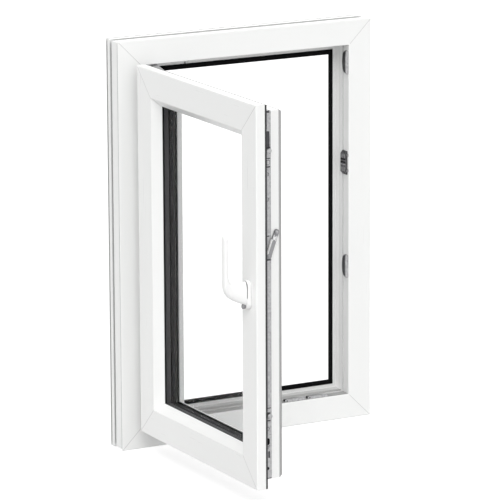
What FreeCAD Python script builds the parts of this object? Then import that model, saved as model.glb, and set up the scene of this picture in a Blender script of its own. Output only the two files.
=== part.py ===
import FreeCAD, Part
import math
import os

# Tilt and turn window, single sash hung on the left and turned open into the room.
# It is drawn closed, in millimetres: x to the right as seen from the room, y = depth towards
# outdoors with 0 on the frame's room face, z up. The sash pieces are turned open at the end,
# and everything is moved so that the origin lies on the flat underside of the frame.
V = FreeCAD.Vector

# Whole window
WIDTH = 740.0
HEIGHT = 1080.0
OPEN_ANGLE = 89.0

# Frame section: w runs inward from the outer edge, d outdoors from the room face
FRAME_DEPTH = 70.0
FRAME_FACE = 66.0
FRAME_LIP = 3.0
LIP_THICK = 3.0
FRONT_GROOVE_END = 11.0
BACK_GROOVE_START = 43.0
BACK_GROOVE_WIDTH = 6.0
EDGE_GROOVE_DEPTH = 6.0
REAR_GROOVE_START = 61.0
REAR_GROOVE_WIDTH = 6.0
LEG_THICK = 13.0
LEG_HEIGHT = 26.0
LEG_TIP = 6.0
LEG_BEVEL = 10.0
RIDGE_START = 30.0
RIDGE_RISE = 3.0
RIDGE_WIDTH = 18.0
LEG_FOOT = 8.0
FRAME_EDGE_RADIUS = 2.5

# Sash section: w inward from the flange edge, d outdoors from the sash's room face
SASH_DEPTH = 84.0
SASH_FACE = 73.0
FLANGE_THICK = 25.0
FLANGE_STEP = 20.0
FLANGE_OVERLAP = 9.0
FLANGE_GAP = 4.0
SASH_EDGE_RADIUS = 3.0
SASH_LEG_HEIGHT = 20.0
SASH_LEG_THICK = 18.5
SASH_LEG_BEVEL = 8.0
SASH_CHAMFER = 9.5
SASH_CHAMFER_RISE = 6.0

# Hardware groove round the sash
PLATE_WIDTH = 16.0
PLATE_THICK = 2.8
PLATE_START = 36.0
CHANNEL_MARGIN = 2.0
CHANNEL_DEPTH = 8.0

# Seals
SEAL_GROOVE = 4.0
SEAL_GROOVE_DEPTH = 3.0
SEAL_FIT = 0.1
FRAME_SEAL_IN = 8.5
FRAME_SEAL_WIDTH = 11.0
FRAME_SEAL_RISE = 3.6
SASH_SEAL_IN = 3.0
SASH_SEAL_RISE = 3.6

# Glazing
BEAD_SLOPE_WIDTH = 20.5
BEAD_DEPTH = 23.5
BEAD_NOSE = 1.5
GASKET_THICK = 2.5
GASKET_WIDTH = 6.0
PANE_THICK = 4.0
SPACER_DEPTH = 12.0
SPACER_WIDTH = 11.0
GLASS_EDGE_GAP = 5.0
SPACER_INSET = 2.5

# Sash swing axis, from the sash's flange edge and the frame's room face
AXIS_SIDE = 13.0
AXIS_FRONT = 21.0

# Concealed hinges at the top and bottom of the hinge side
HINGE_PLATE_LENGTH = 138.0
HINGE_PLATE_WIDTH = 18.0
HINGE_PLATE_THICK = 3.0
HINGE_PLATE_IN = 10.0
HINGE_PLATE_END = 4.0
FRAME_PIVOT = 40.0
SHOE_LENGTH = 150.0
SHOE_START = 24.0
SASH_PIVOT = 60.0
HINGE_ARM_WIDTH = 16.0
HINGE_ARM_THICK = 3.5
PIVOT_RADIUS = 4.0
PIVOT_CLEARANCE = 0.1
PIVOT_HEAD = 1.5
PIVOT_HEAD_RADIUS = 6.0
STOP_RADIUS = 4.5
STOP_HEIGHT = 6.0

# Hardware along the lock edge, measured from the top and bottom of the sash
CORNER_RADIUS = 2.5
TOP_DRIVE_END = 331.0
BOTTOM_DRIVE_END = 132.0
DRIVE_LIMB = 150.0
TOP_GUIDE_END = 190.0
PLATE_JOINT = 0.6
CAM_SLOT_LENGTH = 54.0
CAM_SLOT_BELOW = 6.0
LOWER_SLOT_LENGTH = 16.0
CAM_SLOT_WIDTH = 9.0
CAM_RADIUS = 4.4
CAM_HEIGHT = 7.5
CAM_HEAD_RADIUS = 6.5
CAM_HEAD = 2.2
CAM_SIDES = 8
UPPER_CAM = 118.0
LOWER_CAM_UP = 50.0
TOP_CAM = 90.0
BOTTOM_CAM = 96.0

# Fail-safe lever on the lock edge
LEVER_BELOW_JOINT = 49.0
LEVER_LENGTH = 62.0
LEVER_WIDTH = 13.0
LEVER_THICK = 3.0
LEVER_TILT = 20.0
LEVER_SLOT_LENGTH = 9.0
LEVER_SLOT_WIDTH = 4.5
LEVER_SLOT_FROM_END = 21.0
LEVER_BASE_RADIUS = 8.0
LEVER_BASE_HEIGHT = 2.0

# Keeps in the frame's rebate
KEEP_LENGTH = 61.0
KEEP_BASE = 2.5
KEEP_END_WIDTH = 15.0
KEEP_WIDTH = 26.0
KEEP_BULGE_END = 14.0
KEEP_BULGE_RADIUS = 20.0
KEEP_IN = 3.0
KEEP_LIP = 5.0
KEEP_RISE = 7.0
RAMP_RUN = 16.0
RAMP_IN = 2.5
UPPER_KEEP = 16.5
LOWER_KEEP_UP = 320.0
BOTTOM_KEEP = 61.0
KEEP_SPACING = 68.5

# Run-up block in the rebate, which lifts the sash as it closes
RUN_UP_BELOW_JOINT = 27.0
RUN_UP_LENGTH = 63.0
RUN_UP_IN = 8.0
RUN_UP_WIDTH = 21.5
RUN_UP_NEAR = 5.5
RUN_UP_FAR = 9.5
RUN_UP_END = 8.0
EAR_LENGTH = 7.0
EAR_THICK = 2.0
EAR_FROM_END = 7.0

# Handle on the lock stile
HANDLE_IN = 40.0
HANDLE_UP = 490.0
ROSETTE_HEIGHT = 72.0
ROSETTE_WIDTH = 28.0
ROSETTE_THICK = 10.0
ROSETTE_EDGE = 2.0
HANDLE_REACH = 72.0
GRIP_THICK = 12.0
GRIP_TIP = 155.0
GRIP_FOOT = 27.0
GRIP_WIDTH = 21.0
NECK_BOTTOM = 26.0
NECK_TOP = 34.0
ELBOW_RADIUS = 38.0
INNER_ELBOW_RADIUS = 20.0
GRIP_EDGE = 4.0

# Drainage slots in the outdoor face of the bottom rail
DRAIN_LENGTH = 28.0
DRAIN_HEIGHT = 5.0
DRAIN_DEPTH = 8.0
DRAIN_UP = 30.0
DRAIN_FROM_END = 150.0

# Places that follow from the sizes above
SASH_INSET = FRAME_FACE - FLANGE_OVERLAP
SASH_FRONT = -(FLANGE_THICK + FLANGE_GAP)
LEG_FACE = FRAME_DEPTH - LEG_THICK
FRAME_TIP = FRAME_FACE + LEG_HEIGHT
PLATE_END = PLATE_START + PLATE_WIDTH
PLATE_CENTRE = PLATE_START + PLATE_WIDTH / 2
GLASS_FRONT = BEAD_DEPTH + GASKET_THICK
UNIT_DEPTH = 3 * PANE_THICK + 2 * SPACER_DEPTH
SASH_LEG_FACE = SASH_DEPTH - SASH_LEG_THICK
SIGHT_LINE = SASH_FACE + BEAD_SLOPE_WIDTH
GLASS_EDGE = SASH_FACE + GLASS_EDGE_GAP

FRAME_RING = (0.0, 0.0, WIDTH, HEIGHT)
SASH_RING = (SASH_INSET, SASH_INSET, WIDTH - SASH_INSET, HEIGHT - SASH_INSET)
SASH_LEFT, SASH_BOTTOM, SASH_RIGHT, SASH_TOP = SASH_RING
LOCK_EDGE = SASH_RIGHT - FLANGE_STEP
TOP_EDGE = SASH_TOP - FLANGE_STEP
DRIVE_JOINT = SASH_TOP - TOP_DRIVE_END
SWING_AXIS = V(SASH_INSET - AXIS_SIDE, -AXIS_FRONT, 0)
ORIGIN = V(WIDTH / 2, (FRONT_GROOVE_END + BACK_GROOVE_START) / 2, FRAME_LIP)


def closed_wire(corners, put):
    """Closed wire through (a, b) or (a, b, radius) corners; a radius gives a tangent arc."""
    flat = [V(corner[0], corner[1], 0) for corner in corners]
    radii = [corner[2] if len(corner) > 2 else 0.0 for corner in corners]
    count = len(flat)
    rounds = []
    for i in range(count):
        here = flat[i]
        back = (flat[i - 1] - here).normalize()
        ahead = (flat[(i + 1) % count] - here).normalize()
        if radii[i] == 0:
            rounds.append((here, None, here))
            continue
        half = back.getAngle(ahead) / 2
        run = radii[i] / math.tan(half)
        middle_line = (back + ahead).normalize()
        middle = here + middle_line * (radii[i] / math.sin(half) - radii[i])
        rounds.append((here + back * run, middle, here + ahead * run))
    edges = []
    for i in range(count):
        start, middle, end = [p if p is None else put(p.x, p.y) for p in rounds[i]]
        if middle is not None:
            edges.append(Part.Arc(start, middle, end).toShape())
        following = rounds[(i + 1) % count][0]
        following = put(following.x, following.y)
        if end.distanceToPoint(following) > 1e-6:
            edges.append(Part.LineSegment(end, following).toShape())
    return Part.Wire(edges)


def plate(corners, put, thickness):
    """Solid from an outline in the plane of put, pulled along the vector thickness."""
    return Part.Face(closed_wire(corners, put)).extrude(thickness)


def section_on(side, ring, front):
    """Plane for a section (w, d) at the start of one side of a ring, and the side's length."""
    x0, z0, x1, z1 = ring
    across = V(x1 - x0, 0, 0)
    upright = V(0, 0, z1 - z0)
    places = {
        "bottom": (lambda w, d: V(x0, front + d, z0 + w), across),
        "top": (lambda w, d: V(x0, front + d, z1 - w), across),
        "left": (lambda w, d: V(x0 + w, front + d, z0), upright),
        "right": (lambda w, d: V(x1 - w, front + d, z0), upright),
    }
    return places[side]


def mitre_cutter(side, ring, reach):
    """Prism whose sloping ends follow the 45 degree mitres of one side of a ring."""
    x0, z0, x1, z1 = ring
    inner = [(x0 + reach, z0 + reach), (x1 - reach, z0 + reach)]
    inner += [(x1 - reach, z1 - reach), (x0 + reach, z1 - reach)]
    outer = [(x0, z0), (x1, z0), (x1, z1), (x0, z1)]
    first = {"bottom": 0, "right": 1, "top": 2, "left": 3}[side]
    second = (first + 1) % 4
    corners = [outer[first], outer[second], inner[second], inner[first]]
    return plate(corners, lambda x, z: V(x, -FRAME_DEPTH, z), V(0, 3 * FRAME_DEPTH, 0))


def ring_side(section, side, ring, front=0.0):
    """One side of a ring: the section run along it and mitred at both ends."""
    put, run = section_on(side, ring, front)
    reach = max(corner[0] for corner in section) + 1.0
    return plate(section, put, run).common(mitre_cutter(side, ring, reach)).Solids[0]


def whole_ring(section, ring, front=0.0):
    """All four sides of a ring joined into one piece, as a moulded seal is."""
    sides = [ring_side(section, side, ring, front) for side in ("bottom", "right", "top", "left")]
    return sides[0].fuse(sides[1:]).removeSplitter().Solids[0]


def frame_section():
    """Outer frame: two proud edges, three edge grooves, ridged rebate and the leg the sash closes on."""
    groove = FRAME_LIP + EDGE_GROOVE_DEPTH
    back_groove_end = BACK_GROOVE_START + BACK_GROOVE_WIDTH
    rear_groove_end = REAR_GROOVE_START + REAR_GROOVE_WIDTH
    seal_near = FRAME_TIP - FRAME_SEAL_IN
    return [
        (0, 0, 1.0),
        (0, LIP_THICK),
        (groove, LIP_THICK),
        (groove, FRONT_GROOVE_END),
        (FRAME_LIP, FRONT_GROOVE_END),
        (FRAME_LIP, BACK_GROOVE_START),
        (groove, BACK_GROOVE_START),
        (groove, back_groove_end),
        (0, back_groove_end, 1.0),
        (0, REAR_GROOVE_START),
        (EDGE_GROOVE_DEPTH, REAR_GROOVE_START),
        (EDGE_GROOVE_DEPTH, rear_groove_end),
        (0, rear_groove_end),
        (0, FRAME_DEPTH, 1.0),
        (FRAME_TIP - LEG_BEVEL, FRAME_DEPTH, 1.0),
        (FRAME_TIP, LEG_FACE + LEG_TIP, 1.0),
        (FRAME_TIP, LEG_FACE, 1.0),
        (seal_near + SEAL_GROOVE, LEG_FACE),
        (seal_near + SEAL_GROOVE, LEG_FACE + SEAL_GROOVE_DEPTH),
        (seal_near, LEG_FACE + SEAL_GROOVE_DEPTH),
        (seal_near, LEG_FACE),
        (FRAME_FACE + LEG_FOOT, LEG_FACE, 1.5),
        (FRAME_FACE + RIDGE_RISE, RIDGE_START + RIDGE_WIDTH, 2.0),
        (FRAME_FACE + RIDGE_RISE, RIDGE_START),
        (FRAME_FACE, RIDGE_START),
        (FRAME_FACE, 0, FRAME_EDGE_RADIUS),
    ]


def frame_seal_section():
    """Soft seal at the tip of the frame's leg, its foot pressed into the groove."""
    near = FRAME_TIP - FRAME_SEAL_IN
    far = near + SEAL_GROOVE
    floor = LEG_FACE + SEAL_GROOVE_DEPTH - SEAL_FIT
    crest = LEG_FACE - FRAME_SEAL_RISE
    return [
        (near + SEAL_FIT, LEG_FACE),
        (near + SEAL_FIT, floor),
        (far - SEAL_FIT, floor),
        (far - SEAL_FIT, LEG_FACE),
        (FRAME_TIP - 1.0, LEG_FACE),
        (FRAME_TIP, crest + 1.0, 0.6),
        (near, crest, 2.0),
        (FRAME_TIP - FRAME_SEAL_WIDTH, LEG_FACE - 1.2, 0.5),
        (FRAME_TIP - FRAME_SEAL_WIDTH, LEG_FACE),
    ]


def sash_section():
    """Sash profile: room flange, hardware groove, weather chamfer, glazing rebate and leg."""
    channel_start = PLATE_START + CHANNEL_MARGIN
    channel_end = PLATE_END - CHANNEL_MARGIN
    recess = FLANGE_STEP + PLATE_THICK
    seal_far = SASH_SEAL_IN + SEAL_GROOVE
    leg_tip = SASH_FACE + SASH_LEG_HEIGHT
    return [
        (0, 0, SASH_EDGE_RADIUS),
        (0, FLANGE_THICK, 1.0),
        (SASH_SEAL_IN, FLANGE_THICK),
        (SASH_SEAL_IN, FLANGE_THICK - SEAL_GROOVE_DEPTH),
        (seal_far, FLANGE_THICK - SEAL_GROOVE_DEPTH),
        (seal_far, FLANGE_THICK),
        (FLANGE_STEP, FLANGE_THICK, 1.5),
        (FLANGE_STEP, PLATE_START),
        (recess, PLATE_START),
        (recess, channel_start),
        (recess + CHANNEL_DEPTH, channel_start),
        (recess + CHANNEL_DEPTH, channel_end),
        (recess, channel_end),
        (recess, PLATE_END),
        (FLANGE_STEP, PLATE_END),
        (FLANGE_STEP, SASH_DEPTH - SASH_CHAMFER, 1.0),
        (FLANGE_STEP + SASH_CHAMFER_RISE, SASH_DEPTH, 1.0),
        (leg_tip - SASH_LEG_BEVEL, SASH_DEPTH, 1.0),
        (leg_tip, SASH_LEG_FACE + 3.0, 1.0),
        (leg_tip, SASH_LEG_FACE),
        (SASH_FACE, SASH_LEG_FACE),
        (SASH_FACE, 0, 0.4),
    ]


def sash_seal_section():
    """Seal under the room flange, which closes on the frame's face."""
    near = SASH_SEAL_IN + SEAL_FIT
    far = SASH_SEAL_IN + SEAL_GROOVE - SEAL_FIT
    floor = FLANGE_THICK - SEAL_GROOVE_DEPTH + SEAL_FIT
    crest = FLANGE_THICK + SASH_SEAL_RISE
    return [
        (near, FLANGE_THICK),
        (near, floor),
        (far, floor),
        (far, FLANGE_THICK),
        (far + 2.0, FLANGE_THICK, 0.4),
        (far + 0.5, crest, 1.0),
        (near - 1.8, crest - 1.4, 0.6),
        (near - 1.8, FLANGE_THICK),
    ]


def bead_section():
    """Glazing bead: a slope from the sash's room face down to the glass."""
    return [
        (SASH_FACE, 0, 0.4),
        (SIGHT_LINE, BEAD_DEPTH - BEAD_NOSE, BEAD_NOSE / 2),
        (SIGHT_LINE, BEAD_DEPTH),
        (SASH_FACE, BEAD_DEPTH),
    ]


def strip_section(w_start, w_end, d_start, d_end):
    """Plain rectangular strip."""
    return [(w_start, d_start), (w_end, d_start), (w_end, d_end), (w_start, d_end)]


def frame_rails():
    """Four mitred and welded lengths of the outer frame; the bottom one has drainage slots."""
    rails = {
        "frame_bottom_rail": ring_side(frame_section(), "bottom", FRAME_RING),
        "frame_top_rail": ring_side(frame_section(), "top", FRAME_RING),
        "frame_hinge_jamb": ring_side(frame_section(), "left", FRAME_RING),
        "frame_lock_jamb": ring_side(frame_section(), "right", FRAME_RING),
    }
    for middle in (DRAIN_FROM_END, WIDTH - DRAIN_FROM_END):
        rails["frame_bottom_rail"] = rails["frame_bottom_rail"].cut(drain_slot(middle)).Solids[0]
    rails["frame_seal"] = whole_ring(frame_seal_section(), FRAME_RING)
    return rails


def drain_slot(middle):
    """Round-ended slot sunk into the outdoor face of the bottom rail."""
    half = DRAIN_LENGTH / 2
    rounding = DRAIN_HEIGHT / 2 - 0.01
    corners = [
        (middle - half, DRAIN_UP, rounding),
        (middle + half, DRAIN_UP, rounding),
        (middle + half, DRAIN_UP + DRAIN_HEIGHT, rounding),
        (middle - half, DRAIN_UP + DRAIN_HEIGHT, rounding),
    ]
    start = FRAME_DEPTH - DRAIN_DEPTH
    return plate(corners, lambda x, z: V(x, start, z), V(0, 2 * DRAIN_DEPTH, 0))


def sash_rails():
    """Four mitred and welded lengths of the sash, with the seal under the flange."""
    section = sash_section()
    return {
        "sash_bottom_rail": ring_side(section, "bottom", SASH_RING, SASH_FRONT),
        "sash_top_rail": ring_side(section, "top", SASH_RING, SASH_FRONT),
        "sash_hinge_stile": ring_side(section, "left", SASH_RING, SASH_FRONT),
        "sash_lock_stile": ring_side(section, "right", SASH_RING, SASH_FRONT),
        "sash_seal": whole_ring(sash_seal_section(), SASH_RING, SASH_FRONT),
    }


def glazing():
    """Triple glazed unit with warm-edge spacers, its gaskets and the four beads."""
    pieces = {}
    names = {"bottom": "bottom", "top": "top", "left": "hinge_side", "right": "lock_side"}
    for side, name in names.items():
        pieces["glazing_bead_" + name] = ring_side(bead_section(), side, SASH_RING, SASH_FRONT)
    inner = strip_section(SIGHT_LINE - GASKET_WIDTH, SIGHT_LINE, BEAD_DEPTH, GLASS_FRONT)
    pieces["inner_glazing_gasket"] = whole_ring(inner, SASH_RING, SASH_FRONT)
    glass_back = GLASS_FRONT + UNIT_DEPTH
    outer = strip_section(SIGHT_LINE - GASKET_WIDTH, SIGHT_LINE, glass_back, SASH_LEG_FACE)
    pieces["outer_glazing_gasket"] = whole_ring(outer, SASH_RING, SASH_FRONT)
    pitch = PANE_THICK + SPACER_DEPTH
    for i, name in enumerate(("inner_pane", "middle_pane", "outer_pane")):
        front = SASH_FRONT + GLASS_FRONT + i * pitch
        width = SASH_RIGHT - SASH_LEFT - 2 * GLASS_EDGE
        height = SASH_TOP - SASH_BOTTOM - 2 * GLASS_EDGE
        corner = V(SASH_LEFT + GLASS_EDGE, front, SASH_BOTTOM + GLASS_EDGE)
        pieces[name] = Part.makeBox(width, PANE_THICK, height, corner)
    for i, name in enumerate(("inner_spacer", "outer_spacer")):
        front = GLASS_FRONT + PANE_THICK + i * pitch
        near = GLASS_EDGE + SPACER_INSET
        strip = strip_section(near, near + SPACER_WIDTH, front, front + SPACER_DEPTH)
        pieces[name] = whole_ring(strip, SASH_RING, SASH_FRONT)
    return pieces


def slot_along_z(x, z_low, z_high, width):
    """Round-ended cutter through a plate on the lock edge."""
    y = SASH_FRONT + PLATE_CENTRE
    corners = [
        (y - width / 2, z_low, width / 2 - 0.01),
        (y + width / 2, z_low, width / 2 - 0.01),
        (y + width / 2, z_high, width / 2 - 0.01),
        (y - width / 2, z_high, width / 2 - 0.01),
    ]
    return plate(corners, lambda a, b: V(x - 2 * PLATE_THICK, a, b), V(4 * PLATE_THICK, 0, 0))


def corner_drive(limb_up, limb_across):
    """Plate bent round the sash's top lock corner, drawn in x and z and pulled across y."""
    outer_x = LOCK_EDGE
    outer_z = TOP_EDGE
    inner_x = outer_x - PLATE_THICK
    inner_z = outer_z - PLATE_THICK
    corners = [
        (outer_x, outer_z - limb_up),
        (outer_x, outer_z, CORNER_RADIUS),
        (outer_x - limb_across, outer_z),
        (outer_x - limb_across, inner_z),
        (inner_x, inner_z),
        (inner_x, outer_z - limb_up),
    ]
    start = SASH_FRONT + PLATE_START
    return plate(corners, lambda x, z: V(x, start, z), V(0, PLATE_WIDTH, 0))


def upside_down(shape):
    """The same piece at the other end of the window's height."""
    return shape.mirror(V(0, 0, HEIGHT / 2), V(0, 0, 1))


def cam(base, direction):
    """Mushroom cam: a round stem through the faceplate and an eight-sided head."""
    neck = CAM_HEIGHT - CAM_HEAD
    stem = Part.makeCylinder(CAM_RADIUS, PLATE_THICK + neck, V(0, 0, -PLATE_THICK))
    corner = V(CAM_HEAD_RADIUS, 0, neck)
    step = 360 / CAM_SIDES
    corners = [FreeCAD.Rotation(V(0, 0, 1), i * step).multVec(corner) for i in range(CAM_SIDES + 1)]
    head = Part.Face(Part.makePolygon(corners)).extrude(V(0, 0, CAM_HEAD))
    whole = stem.fuse(head).removeSplitter().Solids[0]
    whole.Placement = FreeCAD.Placement(base, FreeCAD.Rotation(V(0, 0, 1), direction))
    return whole


def lock_hardware():
    """Faceplates in the sash's groove, the cams that slide in them and the slots they need."""
    low_end = SASH_BOTTOM + BOTTOM_DRIVE_END
    start = SASH_FRONT + PLATE_START
    drive = corner_drive(TOP_EDGE - DRIVE_JOINT, DRIVE_LIMB)
    low_drive = upside_down(corner_drive(BOTTOM_DRIVE_END - FLANGE_STEP, DRIVE_LIMB))
    length = DRIVE_JOINT - low_end - 2 * PLATE_JOINT
    corner = V(LOCK_EDGE - PLATE_THICK, start, low_end + PLATE_JOINT)
    espagnolette = Part.makeBox(PLATE_THICK, PLATE_WIDTH, length, corner)
    half_slot = LOWER_SLOT_LENGTH / 2
    upper = SASH_TOP - UPPER_CAM
    lower = low_end + LOWER_CAM_UP
    upper_low = upper - CAM_SLOT_BELOW
    upper_slot = slot_along_z(LOCK_EDGE, upper_low, upper_low + CAM_SLOT_LENGTH, CAM_SLOT_WIDTH)
    lower_slot = slot_along_z(LOCK_EDGE, lower - half_slot, lower + half_slot, CAM_SLOT_WIDTH)
    drive = drive.cut(upper_slot).Solids[0]
    espagnolette = espagnolette.cut(lower_slot).Solids[0]
    guide_start = SASH_LEFT + TOP_GUIDE_END
    guide_end = LOCK_EDGE - DRIVE_LIMB - PLATE_JOINT
    guide = Part.makeBox(
        guide_end - guide_start, PLATE_WIDTH, PLATE_THICK,
        V(guide_start, start, TOP_EDGE - PLATE_THICK),
    )
    middle = SASH_FRONT + PLATE_CENTRE
    return {
        "top_corner_drive": drive,
        "bottom_corner_drive": low_drive,
        "espagnolette_faceplate": espagnolette,
        "top_faceplate": guide,
        "bottom_faceplate": upside_down(guide),
        "upper_cam": cam(V(LOCK_EDGE, middle, upper), V(1, 0, 0)),
        "lower_cam": cam(V(LOCK_EDGE, middle, lower), V(1, 0, 0)),
        "top_cam": cam(V(LOCK_EDGE - TOP_CAM, middle, TOP_EDGE + PLATE_THICK), V(0, 0, 1)),
        "bottom_cam": upside_down(
            cam(V(LOCK_EDGE - BOTTOM_CAM, middle, TOP_EDGE + PLATE_THICK), V(0, 0, 1))
        ),
    }


def fail_safe_lever():
    """Sprung lever that stops the handle being turned while the sash is open."""
    y = SASH_FRONT + PLATE_CENTRE
    z = DRIVE_JOINT - LEVER_BELOW_JOINT
    half = LEVER_WIDTH / 2
    corners = [
        (-half, -half, half - 0.01),
        (half, -half, half - 0.01),
        (half, LEVER_LENGTH + half, half - 0.01),
        (-half, LEVER_LENGTH + half, half - 0.01),
    ]
    bar = plate(corners, lambda a, b: V(0, a, b), V(LEVER_THICK, 0, 0))
    slot_half = LEVER_SLOT_WIDTH / 2
    slot_low = LEVER_LENGTH - LEVER_SLOT_FROM_END
    slot_corners = [
        (-slot_half, slot_low, slot_half - 0.01),
        (slot_half, slot_low, slot_half - 0.01),
        (slot_half, slot_low + LEVER_SLOT_LENGTH, slot_half - 0.01),
        (-slot_half, slot_low + LEVER_SLOT_LENGTH, slot_half - 0.01),
    ]
    slot = plate(slot_corners, lambda a, b: V(-1, a, b), V(LEVER_THICK + 2, 0, 0))
    bar = bar.cut(slot)
    base = Part.makeCylinder(LEVER_BASE_RADIUS, LEVER_BASE_HEIGHT, V(-LEVER_BASE_HEIGHT, 0, 0), V(1, 0, 0))
    lever = bar.fuse(base).removeSplitter().Solids[0]
    lever.rotate(V(0, 0, 0), V(1, 0, 0), -LEVER_TILT)
    lever.translate(V(LOCK_EDGE + LEVER_BASE_HEIGHT, y, z))
    return lever


def keep(put, along):
    """Keep: a base plate bulging outdoors, and on its room side the lip that holds the cam."""
    lip_end = KEEP_IN + KEEP_LIP
    bulge = KEEP_IN + KEEP_WIDTH
    upward = put(0, 1) - put(0, 0)
    base_corners = [
        (0, KEEP_IN),
        (KEEP_LENGTH, KEEP_IN),
        (KEEP_LENGTH, KEEP_IN + KEEP_END_WIDTH, 2.0),
        (KEEP_LENGTH - KEEP_BULGE_END, bulge, KEEP_BULGE_RADIUS),
        (KEEP_BULGE_END, bulge, KEEP_BULGE_RADIUS),
        (0, KEEP_IN + KEEP_END_WIDTH, 2.0),
    ]
    lip_corners = [
        (0, KEEP_IN),
        (KEEP_LENGTH, KEEP_IN),
        (KEEP_LENGTH, lip_end - RAMP_IN),
        (KEEP_LENGTH - RAMP_RUN, lip_end),
        (RAMP_RUN, lip_end),
        (0, lip_end - RAMP_IN),
    ]
    base = plate(base_corners, lambda a, d: put(d, 0) + along * a, upward * KEEP_BASE)
    lip = plate(lip_corners, lambda a, d: put(d, 0) + along * a, upward * KEEP_RISE)
    return base.fuse(lip).removeSplitter().Solids[0]


def run_up_block(put, along):
    """Wedge that rises outdoors, sloped off at both ends, with two screw ears on its room side."""
    far = RUN_UP_IN + RUN_UP_WIDTH
    section = [(RUN_UP_IN, 0), (far, 0), (far, RUN_UP_FAR, 0.8), (RUN_UP_IN, RUN_UP_NEAR, 0.8)]
    body = plate(section, put, along * RUN_UP_LENGTH)
    side = [
        (0, 0),
        (RUN_UP_LENGTH, 0),
        (RUN_UP_LENGTH, RUN_UP_NEAR / 2),
        (RUN_UP_LENGTH - RUN_UP_END, RUN_UP_FAR),
        (RUN_UP_END, RUN_UP_FAR),
        (0, RUN_UP_NEAR / 2),
    ]
    outdoors = put(1, 0) - put(0, 0)
    body = body.common(plate(side, lambda a, h: put(0, h) + along * a, outdoors * (far + 1.0)))
    upward = put(0, 1) - put(0, 0)
    for start in (EAR_FROM_END, RUN_UP_LENGTH - EAR_FROM_END - EAR_LENGTH):
        corners = [(start, KEEP_IN, 1.5), (start + EAR_LENGTH, KEEP_IN, 1.5)]
        corners += [(start + EAR_LENGTH, RUN_UP_IN + 1.0), (start, RUN_UP_IN + 1.0)]
        body = body.fuse(plate(corners, lambda a, d: put(d, 0) + along * a, upward * EAR_THICK))
    return body.removeSplitter().Solids[0]


def keeps():
    """Keeps and the run-up block, screwed into the rebate of the lock jamb and the bottom rail."""
    reveal = WIDTH - FRAME_FACE
    upper = HEIGHT - FRAME_FACE - UPPER_KEEP - KEEP_LENGTH
    lower = FRAME_FACE + LOWER_KEEP_UP
    run_up = DRIVE_JOINT - RUN_UP_BELOW_JOINT
    upright = V(0, 0, 1)
    pieces = {
        "upper_keep": keep(lambda d, h: V(reveal - h, d, upper), upright),
        "lower_keep": keep(lambda d, h: V(reveal - h, d, lower), upright),
        "run_up_plate": run_up_block(lambda d, h: V(reveal - h, d, run_up), upright),
    }
    for i, name in enumerate(("bottom_keep", "tilt_keep")):
        start = reveal - BOTTOM_KEEP - KEEP_LENGTH - i * KEEP_SPACING
        pieces[name] = keep(lambda d, h: V(start, d, FRAME_FACE + h), V(1, 0, 0))
    return pieces


def turned_open(point):
    """Where a point of the closed sash stands once the sash is open."""
    turn = FreeCAD.Rotation(V(0, 0, 1), -OPEN_ANGLE)
    return SWING_AXIS + turn.multVec(point - SWING_AXIS)


def top_hinge():
    """Concealed hinge at the top: frame plate, link and the shoe on the sash."""
    under = HEIGHT - FRAME_FACE
    plate_low = under - HINGE_PLATE_THICK
    arm_low = plate_low - HINGE_ARM_THICK
    shoe_high = TOP_EDGE + HINGE_PLATE_THICK
    depth_middle = HINGE_PLATE_IN + HINGE_PLATE_WIDTH / 2
    start = FRAME_FACE + HINGE_PLATE_END
    corner = V(start, HINGE_PLATE_IN, plate_low)
    frame_plate = Part.makeBox(HINGE_PLATE_LENGTH, HINGE_PLATE_WIDTH, HINGE_PLATE_THICK, corner)
    pivot = V(start + FRAME_PIVOT, depth_middle, 0)
    pin = Part.makeCylinder(PIVOT_RADIUS, HINGE_ARM_THICK, pivot + V(0, 0, arm_low))
    head_low = arm_low - PIVOT_HEAD
    head = Part.makeCylinder(PIVOT_HEAD_RADIUS, PIVOT_HEAD, pivot + V(0, 0, head_low))
    stop_at = V(start + HINGE_PLATE_LENGTH - STOP_RADIUS, depth_middle, plate_low - STOP_HEIGHT)
    stop = Part.makeCylinder(STOP_RADIUS, STOP_HEIGHT, stop_at)
    frame_plate = frame_plate.fuse([pin, head, stop]).removeSplitter().Solids[0]

    middle = SASH_FRONT + PLATE_CENTRE
    corner = V(SASH_LEFT + SHOE_START, SASH_FRONT + PLATE_START, TOP_EDGE)
    shoe = Part.makeBox(SHOE_LENGTH, PLATE_WIDTH, HINGE_PLATE_THICK, corner)
    sash_pivot = V(SASH_LEFT + SASH_PIVOT, middle, 0)
    boss_height = arm_low - shoe_high
    boss = Part.makeCylinder(PIVOT_HEAD_RADIUS, boss_height, sash_pivot + V(0, 0, shoe_high))
    pin = Part.makeCylinder(PIVOT_RADIUS, HINGE_ARM_THICK, sash_pivot + V(0, 0, arm_low))
    shoe = shoe.fuse([boss, pin]).removeSplitter().Solids[0]

    far = turned_open(sash_pivot)
    line = far - pivot
    half = HINGE_ARM_WIDTH / 2
    corners = [
        (-half, -half, half - 0.01),
        (line.Length + half, -half, half - 0.01),
        (line.Length + half, half, half - 0.01),
        (-half, half, half - 0.01),
    ]
    arm = plate(corners, lambda a, b: V(a, b, 0), V(0, 0, HINGE_ARM_THICK))
    hole_radius = PIVOT_RADIUS + PIVOT_CLEARANCE
    for at in (0.0, line.Length):
        arm = arm.cut(Part.makeCylinder(hole_radius, HINGE_ARM_THICK, V(at, 0, 0)))
    turn = FreeCAD.Rotation(V(1, 0, 0), line)
    arm.Placement = FreeCAD.Placement(pivot + V(0, 0, arm_low), turn)
    return frame_plate, arm.Solids[0], shoe


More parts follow.
